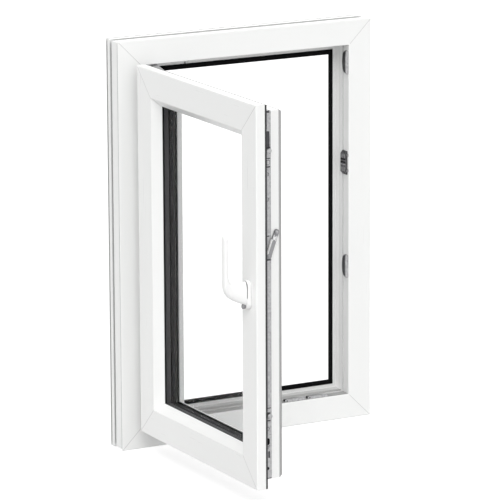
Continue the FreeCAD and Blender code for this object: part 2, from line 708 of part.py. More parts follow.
def handle_rosette():
    """Oval cover plate on the stile, which hides the fixing screws."""
    x = SASH_RIGHT - HANDLE_IN
    z = SASH_BOTTOM + HANDLE_UP
    half = ROSETTE_WIDTH / 2
    tall = ROSETTE_HEIGHT / 2
    corners = [
        (x - half, z - tall, half - 1.0),
        (x + half, z - tall, half - 1.0),
        (x + half, z + tall, half - 1.0),
        (x - half, z + tall, half - 1.0),
    ]
    body = plate(corners, lambda a, b: V(a, SASH_FRONT, b), V(0, -ROSETTE_THICK, 0))
    front = [e for e in body.Edges if e.BoundBox.YMax < SASH_FRONT - ROSETTE_THICK + 0.01]
    return body.makeChamfer(ROSETTE_EDGE, front).Solids[0]


def handle_lever():
    """Cast handle: a side outline with swept elbows, pulled to width and bevelled all over."""
    x = SASH_RIGHT - HANDLE_IN
    z = SASH_BOTTOM + HANDLE_UP
    root = SASH_FRONT - ROSETTE_THICK
    out = SASH_FRONT - HANDLE_REACH
    corners = [
        (root, z - NECK_BOTTOM),
        (out, z - NECK_BOTTOM, ELBOW_RADIUS),
        (out, z + GRIP_TIP, 5.0),
        (out + GRIP_THICK, z + GRIP_TIP, 5.0),
        (out + GRIP_THICK + 2.0, z + GRIP_FOOT, INNER_ELBOW_RADIUS),
        (root, z + NECK_TOP),
    ]
    half = GRIP_WIDTH / 2
    body = plate(corners, lambda y, up: V(x - half, y, up), V(GRIP_WIDTH, 0, 0))
    long_edges = [
        e for e in body.Edges
        if e.BoundBox.XLength < 0.01 and not (e.BoundBox.YLength < 0.01 and e.BoundBox.YMax > root - 0.01)
    ]
    return body.makeChamfer(GRIP_EDGE, long_edges).Solids[0]


def sash_pieces():
    """Everything that turns with the sash, still closed."""
    pieces = sash_rails()
    pieces.update(glazing())
    pieces.update(lock_hardware())
    pieces["fail_safe_lever"] = fail_safe_lever()
    pieces["handle_rosette"] = handle_rosette()
    pieces["handle_lever"] = handle_lever()
    return pieces


def window():
    """All pieces in their final places."""
    pieces = frame_rails()
    pieces.update(keeps())
    swinging = sash_pieces()
    frame_plate, arm, shoe = top_hinge()
    pieces["top_hinge_plate"] = frame_plate
    pieces["bottom_hinge_plate"] = upside_down(frame_plate)
    pieces["top_hinge_link"] = arm
    pieces["bottom_hinge_link"] = upside_down(arm)
    swinging["top_hinge_shoe"] = shoe
    swinging["bottom_hinge_shoe"] = upside_down(shoe)
    for name, shape in swinging.items():
        opened = shape.copy()
        opened.rotate(SWING_AXIS, V(0, 0, 1), -OPEN_ANGLE)
        pieces[name] = opened
    for shape in pieces.values():
        shape.translate(ORIGIN.negative())
    return pieces


os.makedirs("parts", exist_ok=True)
for piece_name, piece_shape in window().items():
    if not piece_shape.isValid() or piece_shape.Volume <= 0:
        print("not a sound solid:", piece_name)
    piece_shape.exportStep("parts/" + piece_name + ".step")
print("pieces written:", len(os.listdir("parts")))
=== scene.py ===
# %% [markdown]
# # A tilt and turn window in white PVC
#
# The window is one frame and one glazed sash, hung on the left and turned open into the room.
# Its carrying pieces come as fixed meshes: welded profile rings, glass, faceplates and keeps.
# This lesson gives them their finishes and adds what is too fine or too round for them:
# the cast handle, the soft seals, screws, weld seams and the small parts of the hardware.

# %% Load the fixed pieces
import math

import bpy
import numpy as np
from mathutils import Matrix, Vector


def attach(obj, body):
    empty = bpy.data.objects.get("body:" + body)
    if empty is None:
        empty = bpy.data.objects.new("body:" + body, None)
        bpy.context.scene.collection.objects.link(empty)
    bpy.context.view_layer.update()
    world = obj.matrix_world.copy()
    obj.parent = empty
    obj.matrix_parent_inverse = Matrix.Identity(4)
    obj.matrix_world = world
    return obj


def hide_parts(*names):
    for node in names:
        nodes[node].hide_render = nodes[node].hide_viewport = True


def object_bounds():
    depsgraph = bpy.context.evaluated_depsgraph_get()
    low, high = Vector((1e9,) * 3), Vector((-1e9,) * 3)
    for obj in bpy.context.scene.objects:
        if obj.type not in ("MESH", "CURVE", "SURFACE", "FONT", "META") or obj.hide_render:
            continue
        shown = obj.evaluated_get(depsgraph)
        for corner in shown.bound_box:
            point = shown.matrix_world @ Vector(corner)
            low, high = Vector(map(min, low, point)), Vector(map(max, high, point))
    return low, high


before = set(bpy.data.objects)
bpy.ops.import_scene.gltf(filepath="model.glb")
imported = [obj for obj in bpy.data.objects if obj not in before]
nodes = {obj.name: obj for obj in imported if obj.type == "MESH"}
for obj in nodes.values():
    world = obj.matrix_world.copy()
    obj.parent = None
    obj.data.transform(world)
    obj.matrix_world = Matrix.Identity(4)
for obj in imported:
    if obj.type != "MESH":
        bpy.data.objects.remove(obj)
cad_low, cad_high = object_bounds()
print("fixed pieces:", len(nodes))

# %% [markdown]
# ## Where the sash stands
#
# The sash is easiest to think of while it is shut: x runs along its width, y goes towards
# outdoors and z up, in millimetres from the frame's lower left corner. A turn about the swing
# axis then opens it. Every piece on the sash is drawn shut and sent through the same turn, so a
# screw lands in its faceplate whatever the angle.

# %% Shut coordinates to the opened sash
MM = 0.001
ORIGIN = np.array([370.0, 27.0, 3.0])
SWING_AXIS = np.array([44.0, -21.0])
SWING = math.radians(-89.0)
WINDOW_WIDTH, WINDOW_HEIGHT, FRAME_DEPTH, FRAME_FACE = 740.0, 1080.0, 70.0, 66.0
SASH_LEFT, SASH_BOTTOM, SASH_RIGHT, SASH_TOP = 57.0, 57.0, 683.0, 1023.0
SASH_FRONT, SASH_DEPTH = -29.0, 84.0
FLANGE_DEPTH, FLANGE_OVERHANG = 25.0, 20.0
LOCK_EDGE = SASH_RIGHT - FLANGE_OVERHANG
TOP_EDGE, LOW_EDGE = SASH_TOP - FLANGE_OVERHANG, SASH_BOTTOM + FLANGE_OVERHANG
PLATE_DEPTH = 44.0
PLATE_MIDDLE = SASH_FRONT + PLATE_DEPTH
REVEAL = WINDOW_WIDTH - FRAME_FACE


def placed(points):
    """Frame coordinates in millimetres to metres about the window's own origin."""
    return (np.asarray(points, float) - ORIGIN) * MM


def opened(points):
    """A point of the shut sash turned about the swing axis, then placed."""
    p = np.array(points, float)
    dx, dy = p[..., 0] - SWING_AXIS[0], p[..., 1] - SWING_AXIS[1]
    p[..., 0] = SWING_AXIS[0] + dx * math.cos(SWING) - dy * math.sin(SWING)
    p[..., 1] = SWING_AXIS[1] + dx * math.sin(SWING) + dy * math.cos(SWING)
    return placed(p)


print("lock edge, middle of the plate:", opened([LOCK_EDGE, PLATE_MIDDLE, 540.0]).round(3))

# %% [markdown]
# ## Colours and a way to write materials
#
# Colours are noted as the hex values a person would read off a colour card. Light adds up in
# linear numbers, so one function turns each hex value to linear before a shader sees it. Another
# adds a shader node together with its settings and links, which keeps each material a short list.

# %% Colour and node helpers
def linear(code):
    """sRGB hex to linear: a power of 2.4 above a short straight toe."""
    channels = np.array([int(code[i:i + 2], 16) for i in (1, 3, 5)]) / 255
    low = channels / 12.92
    high = ((channels + 0.055) / 1.055) ** 2.4
    return (*np.where(channels <= 0.04045, low, high), 1.0)


def add(tree, kind, settings=None, links=None):
    """Adds a node; settings are its values by attribute or socket, links its inputs by socket."""
    node = tree.nodes.new(kind)
    for key, value in (settings or {}).items():
        if isinstance(key, str) and hasattr(node, key):
            setattr(node, key, value)
        else:
            node.inputs[key].default_value = value
    for key, source in (links or {}).items():
        tree.links.new(source, node.inputs[key])
    return node


def new_material(name):
    """An empty material: its tree, and Object coordinates to lay patterns on."""
    material = bpy.data.materials.new(name)
    material.use_nodes = True
    tree = material.node_tree
    tree.nodes.clear()
    return material, tree, add(tree, "ShaderNodeTexCoord").outputs["Object"]


def surface(material, settings, links):
    """Principled shader on the material's output."""
    tree = material.node_tree
    shader = add(tree, "ShaderNodeBsdfPrincipled", settings, links)
    add(tree, "ShaderNodeOutputMaterial", {}, {"Surface": shader.outputs[0]})
    return material


print("linear value of #E8E8E6:", [round(v, 3) for v in linear("#E8E8E6")])

# %% [markdown]
# ## Painted shade in the corners
#
# Grooves, joints and the foot of every screw look darker than open faces: little light gets in.
# The lamps give part of that; the rest is painted shade mixed into the colour, and the Ambient
# Occlusion node finds the places by asking how much of the space round a point is shut off within
# a few millimetres. It looks only at the shapes, so it stays put from every side. Faces that lie
# flat and look up also get a painted shade, found by the direction they face.

# %% Painted crevice shade and painted sill shade
def with_painted_crevice_shade(tree, colour, shade, reach_mm, open_from=0.75, own=False):
    """Painted shade: mixes the colour to a darker tone where space within reach is shut off; own asks
    one piece only.
    """
    near = add(tree, "ShaderNodeAmbientOcclusion",
               {"samples": 8, "only_local": own, "Distance": reach_mm * MM})
    shut = add(tree, "ShaderNodeMapRange",
               {"From Min": 0.15, "From Max": open_from, "To Min": 1.0, "To Max": 0.0},
               {"Value": near.outputs["AO"]})
    mixed = add(tree, "ShaderNodeMix", {"data_type": "RGBA", 7: linear(shade)},
                {0: shut.outputs[0], 6: colour})
    return mixed.outputs[2]


def with_painted_sill_shade(tree, colour, sill_shade):
    """Painted shade: mixes the colour towards a darker tone on faces that lie flat and look up."""
    facing = add(tree, "ShaderNodeNewGeometry").outputs["Normal"]
    upwards = add(tree, "ShaderNodeSeparateXYZ", {}, {0: facing}).outputs[2]
    lying = add(tree, "ShaderNodeMapRange", {"From Min": 0.75, "From Max": 0.95}, {"Value": upwards})
    mixed = add(tree, "ShaderNodeMix", {"data_type": "RGBA", 7: linear(sill_shade)},
                {0: lying.outputs[0], 6: colour})
    return mixed.outputs[2]


print("crevice shade and settled dust ready")

# %% [markdown]
# ## White PVC, extruded
#
# The profiles are pushed through a die, so the skin is smooth and slightly glossy, with very
# fine lines along its length. PVC refracts at about 1.53. The lines are a noise pattern pulled
# long in the direction of extrusion; that direction differs from rail to stile, so the material
# is made once for each. Its grooves get a painted shade, the frame's deep rebate a wider, fainter
# painted shade, and the sill's upward faces one more painted shade. On the real skin the lines
# stand a few tenths of a millimetre apart; they are drawn 3 mm apart here, because finer ones
# don't show.

# %% Profile material
PVC_IOR = 1.53
DIE_LINE_MM = 3.0
LINE_STRETCH = 0.02
CLOUD_MM = 450.0
GROOVE_MM = 4.0
REBATE_MM = 42.0
REBATE_OPEN_FROM = 0.85


def extruded_pvc(name, along, rebate=None, sill_shade=None):
    """White PVC: die lines along one axis (0, 1 or 2), slow clouds of tint, painted shade in crevices,
    rebates and on the sill.
    """
    material, tree, place = new_material(name)
    scale = [1.0, 1.0, 1.0]
    scale[along] = LINE_STRETCH
    run = add(tree, "ShaderNodeMapping", {"Scale": scale}, {"Vector": place}).outputs[0]
    lines = add(tree, "ShaderNodeTexNoise", {"Scale": 1 / (DIE_LINE_MM * MM), "Detail": 2.0},
                {"Vector": run})
    tint = add(tree, "ShaderNodeTexNoise", {"Scale": 1 / (CLOUD_MM * MM), "Detail": 1.0},
               {"Vector": place})
    colour = add(tree, "ShaderNodeMix",
                 {"data_type": "RGBA", 6: linear("#F2F2F1"), 7: linear("#EEEFEE")},
                 {0: tint.outputs[0]})
    # Painted shade in grooves; then, where given, painted shade in the rebate and on the sill's upward
    # faces.
    shaded_colour = with_painted_crevice_shade(tree, colour.outputs[2], "#9A9A9A", GROOVE_MM)
    if rebate:
        shaded_colour = with_painted_crevice_shade(tree, shaded_colour, rebate, REBATE_MM, REBATE_OPEN_FROM, True)
    if sill_shade:
        shaded_colour = with_painted_sill_shade(tree, shaded_colour, sill_shade)
    rough = add(tree, "ShaderNodeMapRange", {"To Min": 0.24, "To Max": 0.36},
                {"Value": lines.outputs[0]})
    bump = add(tree, "ShaderNodeBump", {"Strength": 0.12, "Distance": 0.1 * MM},
               {"Height": lines.outputs[0]})
    return surface(material, {"IOR": PVC_IOR},
                   {"Base Color": shaded_colour, "Roughness": rough.outputs[0], "Normal": bump.outputs[0]})


pvc_deep = extruded_pvc("white_pvc_extruded_outward", 1)
pvc_upright = extruded_pvc("white_pvc_extruded_upright", 2)
# The frame's rails and jambs take painted shade in the rebate; the sill also on its upward faces.
rebated_across = extruded_pvc("white_pvc_rebated_across", 0, "#8A8A8A")
rebated_sill = extruded_pvc("white_pvc_sill_painted_shade", 0, "#A0A0A0", "#979796")
rebated_upright = extruded_pvc("white_pvc_rebated_upright", 2, "#949494")
print("profile materials:", pvc_deep.name, pvc_upright.name, rebated_across.name)

# %% [markdown]
# ## Rubber, glass and spacers
#
# The seals are EPDM rubber, matt black with a fine dusty grain, which scatters what little it
# reflects. The soft grey PVC of a weather lip is as dull and grainy, so the same function makes
# it. Float glass is a clear solid. Six bare surfaces seen aslant would mirror half of the bright
# room and hide what is behind them; the real panes are coated against that. An alpha of one in a
# hundred lets nearly all light straight through and leaves a trace of reflection. The spacers
# between the panes are warm-edge strips, a dull dark plastic.

# %% Rubber, glass and spacer materials
GRAIN_MM = 0.8
ROLL_MM = 180.0
MOTTLE_MM = 2.0
DULL_SPECULAR = 0.06


def epdm_rubber(name, dark, light):
    """Matt soft skin with a grain of 0.8 mm."""
    material, tree, place = new_material(name)
    grain = add(tree, "ShaderNodeTexNoise", {"Scale": 1 / (GRAIN_MM * MM), "Detail": 3.0},
                {"Vector": place})
    colour = add(tree, "ShaderNodeMix", {"data_type": "RGBA", 6: linear(dark), 7: linear(light)},
                 {0: grain.outputs[0]})
    bump = add(tree, "ShaderNodeBump", {"Strength": 0.3, "Distance": 0.2 * MM},
               {"Height": grain.outputs[0]})
    return surface(material, {"IOR": 1.5, "Roughness": 0.8, "Specular IOR Level": DULL_SPECULAR},
                   {"Base Color": colour.outputs[2], "Normal": bump.outputs[0]})


def float_glass():
    """Clear coated float glass: nearly all let through, the rest refracted and mirrored."""
    material, tree, place = new_material("float_glass_clear")
    roll = add(tree, "ShaderNodeTexNoise", {"Scale": 1 / (ROLL_MM * MM), "Detail": 0.0},
               {"Vector": place})
    wave = add(tree, "ShaderNodeBump", {"Strength": 0.02, "Distance": 0.1 * MM},
               {"Height": roll.outputs[0]})
    return surface(material, {"Base Color": linear("#FEFFFF"), "IOR": 1.45, "Roughness": 0.0,
                              "Transmission Weight": 1.0, "Alpha": 0.01},
                   {"Normal": wave.outputs[0]})


def warm_edge_spacer(name, dark, light):
    """Dull composite strip, mottled by the 2 mm row of tiny drying holes."""
    material, tree, place = new_material(name)
    mottle = add(tree, "ShaderNodeTexNoise", {"Scale": 1 / (MOTTLE_MM * MM), "Detail": 2.0},
                 {"Vector": place})
    colour = add(tree, "ShaderNodeMix", {"data_type": "RGBA", 6: linear(dark), 7: linear(light)},
                 {0: mottle.outputs[0]})
    return surface(material, {"IOR": 1.48, "Roughness": 0.7, "Specular IOR Level": DULL_SPECULAR},
                   {"Base Color": colour.outputs[2]})


rubber = epdm_rubber("epdm_rubber_extruded", "#060607", "#0E0E0F")
edge_rubber = epdm_rubber("epdm_rubber_dusty", "#39393A", "#4A4A4B")
grey_lip = epdm_rubber("soft_pvc_grey_coextruded", "#ACACAC", "#B8B8B8")
glass = float_glass()
spacer_near = warm_edge_spacer("warm_edge_spacer_inner", "#484849", "#4D4D4E")
spacer_far = warm_edge_spacer("warm_edge_spacer_outer", "#1E1E1F", "#232324")
print("rubbers:", rubber.name, edge_rubber.name, "- glass:", glass.name)

# %% [markdown]
# ## Steel and powder coat
#
# The lock hardware is steel with a silver zinc plating: a metal, a little rough, with a mottled
# sheen where the plating bath has left it uneven. Handled plates are duller, zinc castings darker
# or more mottled, and a rim that something rubs against is bright. A metal takes its strength of
# reflection from its colour, so its IOR stays as it is. The handle is cast aluminium under a white
# powder coat, which levels out to a soft gloss with a faint orange-peel ripple of about 1.5 mm.
# The seam where two profiles are welded is scraped afterwards, which leaves it matt in a shallow
# groove; its greyer tone is painted shade of that groove.

# %% Metal, coating and seam materials
PLATING_MM = 6.0
RIPPLE_MM = 1.5
SCRAPE_MM = 1.0


def plated_steel(name, dark, light, roughness, crevices=True):
    """Zinc plating: two greys mixed by a 6 mm mottle, roughness varied with it."""
    material, tree, place = new_material(name)
    mottle = add(tree, "ShaderNodeTexNoise", {"Scale": 1 / (PLATING_MM * MM), "Detail": 4.0},
                 {"Vector": place})
    colour = add(tree, "ShaderNodeMix", {"data_type": "RGBA", 6: linear(dark), 7: linear(light)},
                 {0: mottle.outputs[0]})
    shaded_colour = colour.outputs[2]
    if crevices:
        # Painted shade in the crevices of the plate.
        shaded_colour = with_painted_crevice_shade(tree, shaded_colour, "#2A2A2B", 2.5)
    rough = add(tree, "ShaderNodeMapRange", {"To Min": roughness - 0.06, "To Max": roughness + 0.08},
                {"Value": mottle.outputs[0]})
    return surface(material, {"Metallic": 1.0}, {"Base Color": shaded_colour, "Roughness": rough.outputs[0]})


def powder_coat():
    """White powder coat with a levelled ripple."""
    material, tree, place = new_material("powder_coat_white_satin")
    ripple = add(tree, "ShaderNodeTexNoise", {"Scale": 1 / (RIPPLE_MM * MM), "Detail": 1.0},
                 {"Vector": place})
    bump = add(tree, "ShaderNodeBump", {"Strength": 0.08, "Distance": 0.1 * MM},
               {"Height": ripple.outputs[0]})
    colour = add(tree, "ShaderNodeMix",
                 {"data_type": "RGBA", 6: linear("#F4F4F3"), 7: linear("#F0F0F0")},
                 {0: ripple.outputs[0]})
    # Painted shade in the crevices of the coat.
    shaded_colour = with_painted_crevice_shade(tree, colour.outputs[2], "#7A7A7A", 3.0)
    return surface(material, {"IOR": 1.5, "Roughness": 0.3},
                   {"Base Color": shaded_colour, "Normal": bump.outputs[0]})


def weld_groove_shade():
    """Matt PVC with scraping marks 1 mm apart, greyer as painted shade of the seam's groove."""
    material, tree, place = new_material("white_pvc_weld_groove_shade")
    marks = add(tree, "ShaderNodeTexNoise", {"Scale": 1 / (SCRAPE_MM * MM), "Detail": 2.0},
                {"Vector": place})
    # The greyer tone is painted shade of the seam's shallow groove.
    colour = add(tree, "ShaderNodeMix",
                 {"data_type": "RGBA", 6: linear("#C9C9C8"), 7: linear("#D6D6D5")},
                 {0: marks.outputs[0]})
    return surface(material, {"IOR": PVC_IOR, "Roughness": 0.6}, {"Base Color": colour.outputs[2]})


silver_plate = plated_steel("zinc_plated_steel_silver", "#6E6E70", "#C8C8C9", 0.38)
dull_plate = plated_steel("zinc_plated_steel_worn", "#7E7E80", "#98989A", 0.48)
dark_plate = plated_steel("zinc_cast_dark", "#3E3E40", "#58585A", 0.5)
mottled_plate = plated_steel("zinc_cast_mottled", "#0A0A0B", "#7C7C7D", 0.5)
bright_plate = plated_steel("zinc_plated_steel_rubbed", "#D0D0D1", "#E4E4E5", 0.32, False)
white_coat = powder_coat()
weld = weld_groove_shade()
print("metals:", silver_plate.name, dull_plate.name, dark_plate.name)

# %% [markdown]
# ## Finish the fixed pieces
#
# Each fixed piece keeps its mesh and only gets a better material in its slot. The profiles take
# the PVC whose lines run their own way: on the opened sash the rails point outward.

# %% Give every fixed piece its finish
finishes = {
    rebated_across: ["frame_top_rail"],
    rebated_sill: ["frame_bottom_rail"],
    rebated_upright: ["frame_hinge_jamb", "frame_lock_jamb"],
    pvc_deep: ["sash_bottom_rail", "sash_top_rail", "glazing_bead_bottom", "glazing_bead_top"],
    pvc_upright: ["sash_hinge_stile", "sash_lock_stile",
                  "glazing_bead_hinge_side", "glazing_bead_lock_side"],
    rubber: ["frame_seal", "inner_glazing_gasket", "outer_glazing_gasket"],
    edge_rubber: ["sash_seal"],
    glass: ["inner_pane", "middle_pane", "outer_pane"],
    spacer_near: ["inner_spacer"],
    spacer_far: ["outer_spacer"],
    white_coat: ["handle_rosette", "handle_lever"],
    mottled_plate: ["run_up_plate"],
    dull_plate: ["fail_safe_lever"],
}
finish_of = {name: material for material, names in finishes.items() for name in names}
for name, node in nodes.items():
    node.data.materials.clear()
    node.data.materials.append(finish_of.get(name, silver_plate))
print("finished:", len(finish_of), "named,", len(nodes) - len(finish_of), "in silver plate")

# %% [markdown]
# ## Surfaces from grids of points
#
# A new piece is a grid of points, rows by columns, worked out as one numpy array. One function
# turns such a grid into a mesh: each cell becomes a four-sided face, the columns close into a
# ring, and the ends are drawn to a point, or joined to each other where the piece is a hoop. The
# faces are turned round when the volume comes out negative, so they always point outwards.

# %% From a grid to a piece
def grid_faces(rows, columns, joined=False):
    """Index quads of a grid whose columns close; joined also takes the last row to the first."""
    bands = rows if joined else rows - 1
    r, c = np.meshgrid(np.arange(bands), np.arange(columns), indexing="ij")
    here, beside = r * columns, (c + 1) % columns
    above = (r + 1) % rows * columns
    return np.stack([here + c, here + beside, above + beside, above + c], -1).reshape(-1, 4)


def signed_volume(points, faces):
    """Six times the volume: the sum of each face fan's triple product."""
    total = 0.0
    for i in range(1, faces.shape[1] - 1):
        a, b, c = points[faces[:, 0]], points[faces[:, i]], points[faces[:, i + 1]]
        total += np.einsum("ij,ij->", a, np.cross(b, c))
    return total


def hoop(grid):
    """Points and faces of a grid that closes both ways, like a seal that runs round a sash."""
    return grid.reshape(-1, 3), grid_faces(*grid.shape[:2], joined=True)


def shell(grid):
    """Points and faces of a closed ring surface, each end drawn to a pole at its middle."""
    rows, columns = grid.shape[:2]
    poles = np.stack([grid[0].mean(0), grid[-1].mean(0)])
    first_pole, last_pole = rows * columns, rows * columns + 1
    ring = np.arange(columns)
    following = (ring + 1) % columns
    first = np.stack([np.full(columns, first_pole), following, ring, ring], -1)
    last = (rows - 1) * columns
    second = np.stack([np.full(columns, last_pole), last + ring, last + following,
                       last + following], -1)
    return (np.vstack([grid.reshape(-1, 3), poles]),
            np.vstack([grid_faces(rows, columns), first, second]))


def on_sash(*grids):
    """Closed parts from grids drawn on the shut sash, turned open with it."""
    return [shell(opened(grid)) for grid in grids]


def on_frame(*grids):
    """Closed parts from grids drawn on the frame."""
    return [shell(placed(grid)) for grid in grids]


def piece(name, parts, material, sharp=35.0):
    """One mesh object from several (points, faces) parts, riding with the window."""
    vertices, polygons, start = [], [], 0
    for points, faces in parts:
        if signed_volume(points - points.mean(0), faces) < 0:
            faces = faces[:, ::-1]
        vertices.append(points)
        polygons.append(faces + start)
        start += len(points)
    # A face at a pole names one corner twice, which makes it a triangle here.
    corners = [list(dict.fromkeys(face)) for face in np.vstack(polygons).tolist()]
    mesh = bpy.data.meshes.new(name)
    mesh.from_pydata(np.vstack(vertices).tolist(), [], corners)
    mesh.validate()
    mesh.shade_smooth()
    mesh.set_sharp_from_angle(angle=math.radians(sharp))
    mesh.materials.append(material)
    made = bpy.data.objects.new(name, mesh)
    bpy.context.scene.collection.objects.link(made)
    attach(made, "root")
    print(name, len(parts), "parts,", len(corners), "faces")
    return made


print("a 3 by 4 grid has", len(grid_faces(3, 4)), "cells")

# %% [markdown]
# ## The cast handle
#
# A window handle is cast in one piece: a neck that comes straight out of its cover plate, an
# elbow that sweeps upwards and a slim grip. Extruding a side view gives flat flanks; the real one
# is round all over. So the surface is ruled between two side curves, an outer and an inner one:
# at each step along them sits a superellipse, as thick as the curves are apart and as wide as the
# handle is there. At the tip both sizes follow a quarter ellipse down to nothing.

# %% Handle curves and surface
COVER_HALF_WIDTH, COVER_HALF_HEIGHT, COVER_THICK, COVER_RIM = 14.0, 36.0, 10.0, 3.0
HANDLE_X = SASH_RIGHT - 40.0
HANDLE_Z = 547.0
HANDLE_REACH = 72.0
ROSETTE_FACE = SASH_FRONT - COVER_THICK
GRIP_OUT = SASH_FRONT - HANDLE_REACH
GRIP_THICK = 12.0
GRIP_TOP = HANDLE_Z + 155.0
TIP_ROUND = 9.0
TIP_LEFT = 0.0004
ELBOW_STEPS, GRIP_STEPS = 30, 30
RING_POINTS, RING_POWER = 40, 2.5
WIDTH_AT = ([0, 0.1, 0.45, 1], [24.0, 22.0, 20.5, 21.0])


def bezier(corners, steps):
    """Cubic curve pulled by its two middle points, at evenly spaced steps from 0 to 1."""
    t = np.linspace(0, 1, steps)[:, None]
    a, b, c, d = [np.array(p, float) for p in corners]
    return a * (1 - t) ** 3 + 3 * b * t * (1 - t) ** 2 + 3 * c * t ** 2 * (1 - t) + d * t ** 3


def onward(start, end, steps):
    """Straight run of points from start to end, without the start."""
    t = np.linspace(0, 1, steps + 1)[1:, None]
    return np.array(start, float) * (1 - t) + np.array(end, float) * t


def superellipse(count, power):
    """Unit rounded square: |x|^p + |y|^p = 1, walked by angle."""
    turn = np.linspace(0, 2 * np.pi, count, endpoint=False)
    c, s = np.cos(turn), np.sin(turn)
    return np.stack([np.sign(c) * np.abs(c) ** (2 / power), np.sign(s) * np.abs(s) ** (2 / power)], -1)


def handle_surface(ring):
    """Grid of rings ruled between the outer and the inner side curve (y, z), widened along x."""
    foot_out = (GRIP_OUT, HANDLE_Z + 31)
    foot_in = (GRIP_OUT + GRIP_THICK + 0.5, HANDLE_Z + 59)
    top_in = (GRIP_OUT + GRIP_THICK, GRIP_TOP)
    outer = np.vstack([
        bezier([(ROSETTE_FACE, HANDLE_Z - 26), (ROSETTE_FACE - 25, HANDLE_Z - 14),
                (GRIP_OUT, HANDLE_Z - 7), foot_out], ELBOW_STEPS),
        onward(foot_out, (GRIP_OUT, GRIP_TOP), GRIP_STEPS),
    ])
    inner = np.vstack([
        bezier([(ROSETTE_FACE, HANDLE_Z + 35), (ROSETTE_FACE - 19, HANDLE_Z + 25.5),
                (foot_in[0] + 1.0, HANDLE_Z + 24), foot_in], ELBOW_STEPS),
        onward(foot_in, top_in, GRIP_STEPS),
    ])
    middle, half = (outer + inner) / 2, (outer - inner) / 2
    share = np.linspace(0, 1, len(middle))
    width = np.interp(share, *WIDTH_AT) / 2
    from_tip = np.clip((GRIP_TOP - middle[:, 1]) / TIP_ROUND, 0, 1)
    shrink = np.sqrt(np.clip(1 - (1 - from_tip) ** 2, TIP_LEFT, 1))
    grid = np.empty((len(middle), len(ring), 3))
    grid[..., 0] = HANDLE_X + (width * shrink)[:, None] * ring[None, :, 1]
    grid[..., 1:] = middle[:, None] + (half * shrink[:, None])[:, None] * ring[None, :, :1]
    return grid


handle_grid = handle_surface(superellipse(RING_POINTS, RING_POWER))
handle = piece("handle_cast", on_sash(handle_grid), white_coat, 60.0)
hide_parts("handle_lever")
print("reach of the handle:", round(SASH_FRONT - handle_grid[..., 1].min(), 1), "mm")

# %% [markdown]
# ## The cover plate behind the handle
#
# The cover plate is a long rounded plate, 72 by 28 mm, with a softly domed rim. Seen from the
# front every level of it is the same rounded outline, only smaller towards the top. So the
# surface stacks such outlines: the inset grows as a quarter circle while the height climbs. The
# same stack, dark and a little wider than the neck, is the bearing ring the handle turns in; its
# dark tone is also painted shade of the gap round the neck. A small tall one below the neck is
# the button that releases it.

# %% Cover plate, bearing ring and release button
RIM_STEPS = 7
LET_IN = 0.2
RING_UP = 10.0
BUTTON_DOWN = 28.5


def stadium(half_width, half_height, count):
    """Outline of a rectangle whose short ends are half circles, evenly stepped by angle."""
    turn = np.linspace(0, 2 * np.pi, count, endpoint=False)
    straight = max(half_height - half_width, 0.0)
    a, b = half_width * np.cos(turn), half_width * np.sin(turn)
    return np.stack([a, b + np.sign(np.sin(turn)) * straight], -1)


def stacked(half_width, half_height, thickness, rim, count=64, base=0.0):
    """Local (a, b, h) rings of a stadium, inset by a quarter circle of radius rim at the top."""
    angle = np.linspace(0, np.pi / 2, RIM_STEPS)
    inset = np.concatenate([[0.0], rim * (1 - np.cos(angle))])
    height = np.concatenate([[base], thickness - rim + rim * np.sin(angle)])
    rings = np.stack([stadium(half_width - i, half_height - i, count) for i in inset])
    heights = np.broadcast_to(height[:, None, None], rings.shape[:2] + (1,))
    return np.concatenate([rings, heights], -1)


def stand(local, base, across, up):
    """Local (a, b, h) set on a surface: base + a across + b up + h outwards, across times up."""
    across, up = np.array(across, float), np.array(up, float)
    return np.array(base, float) + local @ np.stack([across, up, np.cross(across, up)])


def on_cover(local, height):
    """Local rings let into the cover plate's face, at a height from the handle's axis."""
    return stand(local, (HANDLE_X, ROSETTE_FACE + LET_IN, HANDLE_Z + height), X, Z)


X, Y, Z = np.eye(3)
plate_grid = stand(stacked(COVER_HALF_WIDTH, COVER_HALF_HEIGHT, COVER_THICK, COVER_RIM),
                   (HANDLE_X, SASH_FRONT, HANDLE_Z), X, Z)
cover = piece("handle_cover_plate", on_sash(plate_grid), white_coat, 50.0)
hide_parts("handle_rosette")
# The bearing ring's dark rubber is also painted shade of the gap round the neck.
ring_and_shade_grid = on_cover(stacked(12.6, 25.0, 1.0, 0.4, 64, -1.0), RING_UP)
piece("handle_bearing_ring_and_shade", on_sash(ring_and_shade_grid), edge_rubber)
button_grid = on_cover(stacked(4.5, 6.0, 9.0, 1.2, 32, -0.5), -BUTTON_DOWN)
piece("handle_release_button", on_sash(button_grid), dull_plate, 50.0)
print("cover plate:", plate_grid.shape, "points")

# %% [markdown]
# ## The seals of sash and frame
#
# A seal is soft: shut, it is pressed flat between sash and frame; open, its lip springs up. The
# fixed pieces have the pressed shape, so sprung ones replace them: one under the sash's flange and
# one on the frame's inner leg. Each is one profile carried round and turned at each corner along
# the mitre: a profile point (w, d) sits w inwards from both edges there, so four copies of the
# profile, joined into a hoop, are the whole seal.

# %% Sprung seals
def mitred_hoop(profile, ring, front):
    """Grid of four copies of a (w, d) profile at the corners of the ring (x0, z0, x1, z1)."""
    w, d = np.array(profile, float).T
    x0, z0, x1, z1 = ring
    corners = [(x0 + w, z0 + w), (x1 - w, z0 + w), (x1 - w, z1 - w), (x0 + w, z1 - w)]
    return np.stack([np.stack([x, front + d, z], -1) for x, z in corners])


